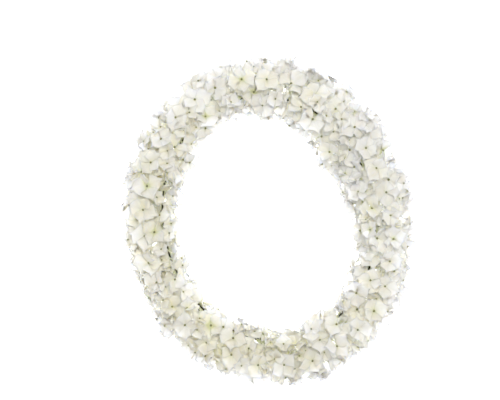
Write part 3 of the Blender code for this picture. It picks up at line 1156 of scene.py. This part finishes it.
# What the sepal's pattern is worked out from: result, operation and what goes in
SEPAL_PATTERN = (
    ("doubled", "MULTIPLY_ADD", "sideways", 2.0, -1.0),
    ("across", "ABSOLUTE", "doubled"),
    ("held_back", "MULTIPLY_ADD", "young", -0.36, "along"),
    ("ripe", "ADD", "held_back", 0.10),
    ("slant", "MULTIPLY_ADD", "across", VEIN_SLANT, "along"),
    ("vein_turn", "MULTIPLY", "slant", 2 * math.pi * SIDE_VEINS),
    ("vein_wave", "SINE", "vein_turn"),
    ("vein_swell", "MULTIPLY_ADD", "vein_wave", 0.5, 0.5),
    ("thin_veins", "POWER", "vein_swell", 6.0),
    ("side_veins", "MULTIPLY", "thin_veins", 0.5),
    ("inward", "SUBTRACT", 1.0, "across"),
    ("midrib", "POWER", "inward", 14.0),
    ("veins", "MAXIMUM", "side_veins", "midrib"),
    ("vein_tint", "MULTIPLY", "veins", 0.14),
    # The margin: a slightly clearer, greyer rim of the sepal's own, and painted shade where the rim curls
    # away
    ("side_margin", "POWER", "across", 7.0),
    ("tip_margin", "POWER", "along", 9.0),
    ("margin", "MAXIMUM", "side_margin", "tip_margin"),
    ("margin_clear_and_shade", "MULTIPLY", "margin", 0.44),
    ("blotch_tint", "MULTIPLY", "blotches", 0.12),
    ("fold_turn", "MULTIPLY", "across", 2 * math.pi * SIDE_FOLDS),
    ("fold_wave", "SINE", "fold_turn"),
    ("folds", "MULTIPLY", "fold_wave", 0.6),
    ("grooves", "SUBTRACT", "folds", "veins"),
    ("height", "MULTIPLY_ADD", "blotches", 1.2, "grooves"),
)

# Colour from the claw to the tip of a white and of a cream sepal, and the tints laid over them: result,
# share, what is below and what is laid over it
SEPAL_RAMPS = {
    "white": ((0.0, "#DBDFAC"), (0.12, "#F2F3E5"), (0.28, "#FBFBFA"), (0.75, "#FDFDFE")),
    "cream": ((0.0, "#D6D89A"), (0.14, "#EEEDCD"), (0.40, "#F8F5E2"), (0.85, "#FBF9EE")),
}
SEPAL_TINTS = (
    ("petal", "tone", "white", "cream"),
    ("veined", "vein_tint", "petal", "#DCDFC6"),
    # Margin darkened: partly the sepal's clear rim, partly painted shade where it curls away
    ("rim_clear_and_shaded", "margin_clear_and_shade", "veined", "#B4B4B4"),
    # Grey: a random greyness of the sepal's own, and painted shade at the band's edges
    ("greyed", "grey", "rim_clear_and_shaded", "#D0CECB"),
    ("blotched", "blotch_tint", "greyed", "#EEEDEC"),
)


def sepal_material():
    """Living hydrangea sepal: a thin matt skin that light passes through, greenish where it joins the
    pedicel, with sunken veins that fan out from the midrib to a slightly clear, greyer margin, darkened
    further by painted shade where the rim curls away."""
    made, tree, shader = new_material("hydrangea_sepal", SEPAL_VALUES)
    uv = add_node(tree, "ShaderNodeUVMap", {"uv_map": "sepal"})
    split = add_node(tree, "ShaderNodeSeparateXYZ", {}, {0: uv})
    place = add_node(tree, "ShaderNodeTexCoord").outputs["Object"]
    known = {"sideways": split.outputs[0], "along": split.outputs[1]}
    known["blotches"] = add_node(tree, "ShaderNodeTexNoise", {}, {
        "Vector": place, "Scale": BLOTCHES_PER_METRE, "Detail": 3.0})
    for name in ("tone", "young", "grey"):
        known[name] = add_node(tree, "ShaderNodeAttribute", {"attribute_name": name}).outputs["Fac"]
    for name, operation, *values in SEPAL_PATTERN:
        inputs = {i: known.get(value, value) for i, value in enumerate(values)}
        known[name] = add_node(tree, "ShaderNodeMath", {"operation": operation}, inputs)
    for name, stops in SEPAL_RAMPS.items():
        known[name] = add_node(tree, "ShaderNodeValToRGB", {}, {"Fac": known["ripe"]}, stops)
    for name, share, below, over in SEPAL_TINTS:
        over = known[over] if over in known else linear(over)
        mix = add_node(tree, "ShaderNodeMix", {"data_type": "RGBA"}, {
            0: known[share], 6: known[below], 7: over})
        known[name] = mix.outputs[2]
    bump = add_node(tree, "ShaderNodeBump", {}, {
        "Height": known["height"], "Strength": 0.4, "Distance": SEPAL_RELIEF})
    tree.links.new(known["blotched"], shader.inputs["Base Color"])
    tree.links.new(bump.outputs["Normal"], shader.inputs["Normal"])
    return made


# Skins: name, two close colours with their positions, streaks per metre, relief and the shader's values.
# Bud: a dull olive skin with streaks of 1.4 mm. Pedicel: pale green and waxy, with a soft sheen. Stem:
# green bark, drier than the pedicels. Ring: annealed steel, a dark brown scale that hardly shines.
# Binding: steel wire under thin green lacquer, a little glossier than the ring.
SKINS = {
    "bud": ("hydrangea_bud", ((0.35, "#6D6F40"), (0.65, "#8F9160")), 700.0, 0.0001, {"Roughness": 0.55}),
    "pedicel": (
        "hydrangea_pedicel", ((0.30, "#DDE0C4"), (0.70, "#EAECD8")), 300.0, 0.0001, {"Roughness": 0.5}),
    "stem": ("hydrangea_stem", ((0.30, "#C4C8A2"), (0.70, "#D8DBB8")), 240.0, 0.0001, {"Roughness": 0.6}),
    "ring": (
        "annealed_ring_wire", ((0.35, "#1E1B12"), (0.70, "#3A3526")), 420.0, 0.00008,
        {"Metallic": 0.6, "Roughness": 0.55}),
    "binding": (
        "lacquered_binding_wire", ((0.35, "#2E3020"), (0.70, "#4C4D35")), 420.0, 0.00008,
        {"Metallic": 0.3, "Roughness": 0.45}),
}


def skin_material(name, stops, streaks_per_metre, relief, values):
    """A skin with streaks of a few close colours and a fine uneven surface."""
    made, tree, shader = new_material(name, values)
    place = add_node(tree, "ShaderNodeTexCoord").outputs["Object"]
    streaks = add_node(tree, "ShaderNodeTexNoise", {}, {
        "Vector": place, "Scale": streaks_per_metre, "Detail": 4.0})
    ramp = add_node(tree, "ShaderNodeValToRGB", {}, {"Fac": streaks}, stops)
    bump = add_node(tree, "ShaderNodeBump", {}, {"Height": streaks, "Strength": 0.5, "Distance": relief})
    tree.links.new(ramp.outputs["Color"], shader.inputs["Base Color"])
    tree.links.new(bump.outputs["Normal"], shader.inputs["Normal"])
    return made


def set_tones(florets, rng):
    """White to cream, creamiest at the lower left, in part as painted shade, and along the middle of the
    band, grey at its edges as painted shade.
    """
    for floret in florets:
        point, outward = station(floret["s"])
        direction = math.atan2(floret["middle"].y, floret["middle"].x)
        # The swing toward the lower left is partly the sepals' own cream and partly painted shade away from
        # the light
        cream = CREAM + CREAM_AND_SHADE_SWING * math.cos(direction - CREAM_AND_SHADE_DIRECTION) + rng.gauss(0, CREAM_SPREAD)
        share = share_at(floret["s"], (floret["middle"] - point).dot(outward))
        cream = cream + CREAM_IN_MIDDLE - CREAM_FALL * share * share
        young = min(1.0, max(0.0, rng.gauss(*YOUNG)))
        for sepal in floret["lie"]["sepals"]:
            middle = sepal["world"] @ Vector((0, SEPAL_MIDDLE * sepal["size"], 0))
            share = share_at(floret["s"], (middle - point).dot(outward))
            # Sepals near the band's outer and inner edges are greyed: painted shade
            fringe_shade = FRINGE_SHADE[0] * max(0.0, share - FRINGE_FROM)
            fringe_shade += FRINGE_SHADE[1] * max(0.0, -share - FRINGE_FROM)
            sepal["tone"] = min(1.0, max(0.0, cream + rng.gauss(0, SEPAL_CREAM_SPREAD)))
            sepal["grey"] = min(MOST_GREY, max(0.0, rng.gauss(0.0, GREY_SPREAD)) + fringe_shade)
            sepal["young"] = young


# Geometry Nodes trees

def new_tree(name, inputs):
    """A Geometry Nodes tree with a geometry input and output, and these named inputs."""
    tree = bpy.data.node_groups.new(name, "GeometryNodeTree")
    tree.interface.new_socket("Geometry", in_out="OUTPUT", socket_type="NodeSocketGeometry")
    for label, kind in {"Geometry": "NodeSocketGeometry", **inputs}.items():
        tree.interface.new_socket(label, in_out="INPUT", socket_type=kind)
    return tree, add_node(tree, "NodeGroupInput").outputs


def end_tree(tree, geometry, surface):
    """Ends the tree in real geometry of one material."""
    real = add_node(tree, "GeometryNodeRealizeInstances", {}, {"Geometry": geometry})
    coated = add_node(tree, "GeometryNodeSetMaterial", {}, {"Geometry": real, "Material": surface})
    add_node(tree, "NodeGroupOutput", {}, {"Geometry": coated})
    return tree


def scatter_tree():
    """Puts one shape of a collection on each point, turned and sized by the point's own attributes."""
    tree, given = new_tree("scatter_on_points", {
        "Shapes": "NodeSocketCollection", "Size": "NodeSocketFloat", "Surface": "NodeSocketMaterial"})
    shapes = add_node(tree, "GeometryNodeCollectionInfo", {}, {
        "Collection": given["Shapes"], "Separate Children": True, "Reset Children": True})
    own = {}
    for name, kind in (("kind", "INT"), ("turn", "FLOAT_VECTOR"), ("size", "FLOAT")):
        own[name] = add_node(tree, "GeometryNodeInputNamedAttribute", {"data_type": kind}, {"Name": name})
    rotation = add_node(tree, "FunctionNodeEulerToRotation", {}, {0: own["turn"]})
    scale = add_node(tree, "ShaderNodeMath", {"operation": "MULTIPLY"}, {0: own["size"], 1: given["Size"]})
    points = add_node(tree, "GeometryNodeMeshToPoints", {}, {"Mesh": given["Geometry"]})
    placed = add_node(tree, "GeometryNodeInstanceOnPoints", {}, {
        "Points": points, "Instance": shapes, "Pick Instance": True, "Instance Index": own["kind"],
        "Rotation": rotation, "Scale": scale})
    return end_tree(tree, placed, given["Surface"])


def tube_tree():
    """Sweeps a round section along each chain of edges, as thick as the points' own radius says."""
    tree, given = new_tree("sweep_along_edges", {
        "Sides": "NodeSocketInt", "Unevenness": "NodeSocketFloat", "Surface": "NodeSocketMaterial"})
    curve = add_node(tree, "GeometryNodeMeshToCurve", {}, {"Mesh": given["Geometry"]})
    radius = add_node(tree, "GeometryNodeInputNamedAttribute", {"data_type": "FLOAT"}, {"Name": "radius"})
    noise = add_node(tree, "ShaderNodeTexNoise", {}, {"Scale": SWINGS_PER_METRE, "Detail": 1.0})
    swing = add_node(tree, "ShaderNodeMath", {"operation": "MULTIPLY_ADD"}, {
        0: noise, 1: given["Unevenness"], 2: 1.0})
    uneven = add_node(tree, "ShaderNodeMath", {"operation": "MULTIPLY"}, {0: radius, 1: swing})
    section = add_node(tree, "GeometryNodeCurvePrimitiveCircle", {}, {
        "Resolution": given["Sides"], "Radius": 1.0})
    # The swing works twice: on the curve's own radius, which the sweep's scale then reads and swings again
    sized = add_node(tree, "GeometryNodeSetCurveRadius", {}, {"Curve": curve, "Radius": uneven})
    tube = add_node(tree, "GeometryNodeCurveToMesh", {}, {
        "Curve": sized, "Profile Curve": section, "Scale": uneven, "Fill Caps": True})
    smooth = add_node(tree, "GeometryNodeSetShadeSmooth", {}, {"Geometry": tube})
    return end_tree(tree, smooth, given["Surface"])


def shape_collection(name, shapes):
    """A collection of plain meshes for a tree to pick from."""
    made = bpy.data.collections.new(name)
    bpy.context.scene.collection.children.link(made)
    for shape in shapes:
        made.objects.link(shape)
    bpy.context.view_layer.update()
    for shape in list(made.objects):
        solid = as_mesh(shape)
        solid.set_sharp_from_angle(angle=SHARP_ANGLE)
        shape.modifiers.clear()
        shape.data = solid
    return made


def run_tree(name, mesh, tree, values):
    """The plain mesh that this tree makes of mesh, with its named inputs set by their identifiers."""
    holder = placed_object(name + "_holder", mesh)
    modifier = holder.modifiers.new("tree", "NODES")
    modifier.node_group = tree
    for item in tree.interface.items_tree:
        if item.in_out == "INPUT" and item.name in values:
            modifier[item.identifier] = values[item.name]
    made = as_mesh(holder)
    bpy.data.objects.remove(holder)
    made.name = name
    made.materials.clear()
    made.materials.append(values["Surface"])
    return made


def point_mesh(name, points):
    """A mesh of loose points, each with a place in the world, a size, a kind of shape and a colour."""
    mesh = bpy.data.meshes.new(name)
    mesh.from_pydata([p["world"].translation for p in points], [], [])
    set_values(mesh, "turn", "FLOAT_VECTOR", [p["world"].to_euler("XYZ") for p in points])
    set_values(mesh, "kind", "INT", [p.get("kind", 0) for p in points])
    for key in ("size", "tone", "grey", "young"):
        set_values(mesh, key, "FLOAT", [p.get(key, 0.0) for p in points])
    return mesh


def chain_mesh(name, chains, closed=False):
    """A mesh of edge chains, each a list of points with a radius."""
    places = []
    edges = []
    radii = []
    for chain in chains:
        first = len(places)
        places += [place for place, _ in chain]
        radii += [radius for _, radius in chain]
        edges += [(i, i + 1) for i in range(first, len(places) - 1)]
        if closed:
            edges.append((len(places) - 1, first))
    mesh = bpy.data.meshes.new(name)
    mesh.from_pydata(places, edges, [])
    set_values(mesh, "radius", "FLOAT", radii)
    return mesh


# The wreath's fine pieces

def pedicel_chain(floret):
    """A gently bent stalk from the stem to the back of the floret."""
    head = floret["lie"]["head"]
    start = floret["root"]
    end = head.translation
    span = (end - start).length
    first = (end - start).normalized() * span
    last = (head.to_3x3() @ UP).normalized() * span * PEDICEL_BEND
    chain = []
    for i in range(PEDICEL_STEPS + 1):
        t = i / PEDICEL_STEPS
        place = (
            start * (2 * t ** 3 - 3 * t ** 2 + 1) + first * (t ** 3 - 2 * t ** 2 + t)
            + end * (3 * t ** 2 - 2 * t ** 3) + last * (t ** 3 - t ** 2))
        chain.append((place, PEDICEL_THICK + (PEDICEL_THIN - PEDICEL_THICK) * min(1.0, PEDICEL_TAPER * t)))
    return chain


def stem_chain(stem):
    """The stem's middle line, thinner toward its tip."""
    chain = []
    for i in range(STEM_STEPS + 1):
        t = i / STEM_STEPS
        place = at(stem["start"] + stem["length"] * t, *stem_place(stem["side"]))
        chain.append((place, STEM_RADIUS * (1 - STEM_TAPER * t)))
    return chain


def press(mesh):
    """Presses what lies near the surface flat against it, keeping the order of heights."""
    room = PRESS_HEIGHT - PRESS_FLOOR
    for vert in mesh.vertices:
        if vert.co.z < PRESS_HEIGHT:
            vert.co.z = PRESS_FLOOR + room * math.exp((vert.co.z - PRESS_HEIGHT) / room)


def add_piece(name, mesh, replaced, shift):
    mesh.transform(Matrix.Translation(shift))
    press(mesh)
    made = placed_object(name, mesh)
    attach(made, "root")
    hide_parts(*replaced)


def join_meshes(name, meshes):
    """One mesh of several, keeping each one's material."""
    work = bmesh.new()
    joined = bpy.data.meshes.new(name)
    for index, mesh in enumerate(meshes):
        first = len(work.faces)
        work.from_mesh(mesh)
        work.faces.ensure_lookup_table()
        for face in work.faces[first:]:
            face.material_index = index
        joined.materials.append(mesh.materials[0])
    work.to_mesh(joined)
    work.free()
    return joined


def shift_to_packed(ring):
    """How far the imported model's ring wire lies from this one, which follows the same rule."""
    corners = [v.co for v in ring.data.vertices]
    own_middle = Vector([(min(c[i] for c in corners) + max(c[i] for c in corners)) / 2 for i in range(3)])
    low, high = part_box("wire_ring")
    return (Vector(low) + Vector(high)) / 2 - own_middle


def grow_wreath():
    """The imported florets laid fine, with late ones between them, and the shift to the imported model."""
    form_rng = random.Random(SEED + 2)
    forms = [sepal_form(form_rng) for _ in range(SEPAL_KINDS)]
    wires = [build_ring(), build_binding()]
    stems = [build_stem(side, number) for side in ("outer", "inner") for number in range(SPRAYS)]
    bed = Bed(wires, stems, forms)
    place_florets(bed, random.Random(SEED))
    shift = shift_to_packed(wires[0])
    for scratch in wires + [stem["object"] for stem in stems]:
        bpy.data.objects.remove(scratch)

    rng = random.Random(SEED + 1)
    settle(bed, rng)
    most = len(bed.florets) + FILLERS
    cover_wire(bed, rng)
    fill_gaps(bed, rng)
    close_holes(bed, rng)
    scatter_late(bed, rng, most)
    for _ in range(EASE_ROUNDS):
        for floret in bed.florets:
            if not floret["resting"]:
                ease(floret, bed, rng, EASE_TRIES, bed.hidden)
    set_tones(bed.florets, rng)
    return bed, shift


def build_wreath():
    bed, shift = grow_wreath()
    sepal_skin = sepal_material()
    skins = {key: skin_material(*row) for key, row in SKINS.items()}
    sepals = shape_collection(
        "sepal_shapes", [sepal_object(f"sepal_{i:02d}", form) for i, form in enumerate(bed.forms)])
    buds = shape_collection("bud_shapes", [bud_object("bud")])
    scatter = scatter_tree()
    tube = tube_tree()

    def tubes(name, kind, chains, closed=False):
        sides, unevenness, skin = TUBES[kind]
        return run_tree(name, chain_mesh(name + "_path", chains, closed), tube, {
            "Sides": sides, "Unevenness": unevenness, "Surface": skins[skin]})

    for stem in bed.stems:
        name = stem["name"]
        own = [floret for floret in bed.florets if floret["spray"] == name]
        sepal_points = [sepal for floret in own for sepal in floret["lie"]["sepals"]]
        sepal_mesh = run_tree(name + "_sepals", point_mesh(name + "_sepal_points", sepal_points), scatter, {
            "Shapes": sepals, "Size": 1.0, "Surface": sepal_skin})
        add_piece(name + "_sepals", sepal_mesh, [name], shift)
        bud_points = [{"world": f["lie"]["head"], "size": f["radius"] / FLORET_RADIUS} for f in own]
        bud_mesh = run_tree(name + "_buds", point_mesh(name + "_bud_points", bud_points), scatter, {
            "Shapes": buds, "Size": BUD_RADIUS, "Surface": skins["bud"]})
        stalks = tubes(name + "_stalks", "stalks", [pedicel_chain(floret) for floret in own])
        stem_mesh = tubes(name + "_stem", "stem", [stem_chain(stem)])
        green = join_meshes(name + "_green", [stem_mesh, stalks, bud_mesh])
        add_piece(name + "_green", green, [name], shift)

    ring_chain = [(oval(i / RING_FINE_POINTS), WIRE_RADIUS) for i in range(RING_FINE_POINTS)]
    ring = tubes("ring_wire", "ring", [ring_chain], True)
    add_piece("ring_wire", ring, ["wire_ring"], shift)
    binding_chain = [(point, BINDING_RADIUS) for point in binding_spiral(BINDING_AWAY, BINDING_FINER)]
    binding = tubes("binding", "binding", [binding_chain], True)
    add_piece("binding", binding, ["binding_wire"], shift)
    for collection in (sepals, buds):
        for shape in list(collection.objects):
            bpy.data.objects.remove(shape)
        bpy.data.collections.remove(collection)


# Studio

def build_studio():
    scene = bpy.context.scene
    work = bmesh.new()
    bmesh.ops.create_grid(work, x_segments=1, y_segments=1, size=FLOOR_HALF_SIZE)
    floor = placed_object("floor", finished_mesh("floor", work))
    floor.location.z = CAD_BOX[0][2] - FLOOR_BELOW
    # Matt white paper that glows a little, so that it shows as pure white
    surface = new_material("white_paper_floor", {
        "Base Color": linear("#FAFAFA"), "Roughness": 0.9, "Specular IOR Level": 0.1,
        "Emission Color": linear("#FFFFFF"), "Emission Strength": FLOOR_GLOW})[0]
    floor.data.materials.append(surface)

    world = bpy.data.worlds.new("white_room")
    world.use_nodes = True
    world.node_tree.nodes["Background"].inputs["Color"].default_value = linear("#FFFFFF")
    world.node_tree.nodes["Background"].inputs["Strength"].default_value = ROOM_GLOW
    scene.world = world

    for name, place, size, power in LIGHTS:
        light = bpy.data.lights.new(name, "AREA")
        light.size = size
        light.energy = power
        made = placed_object(name, light)
        made.location = place
        made.rotation_euler = (-Vector(place)).to_track_quat("-Z", "Y").to_euler()

    camera = bpy.data.cameras.new("camera")
    camera.sensor_width = SENSOR * 1000
    camera.lens = SENSOR * 1000 * (CAMERA_HEIGHT - MASS_TOP / 2) / (PHOTO_WIDTH * PIXEL)
    scene.camera = placed_object("camera", camera)
    scene.camera.location = CAMERA_PLACE
    scene.view_settings.view_transform = "Standard"
    scene.cycles.max_bounces = LIGHT_BOUNCES
    scene.cycles.diffuse_bounces = LIGHT_BOUNCES


build_studio()
build_wreath()
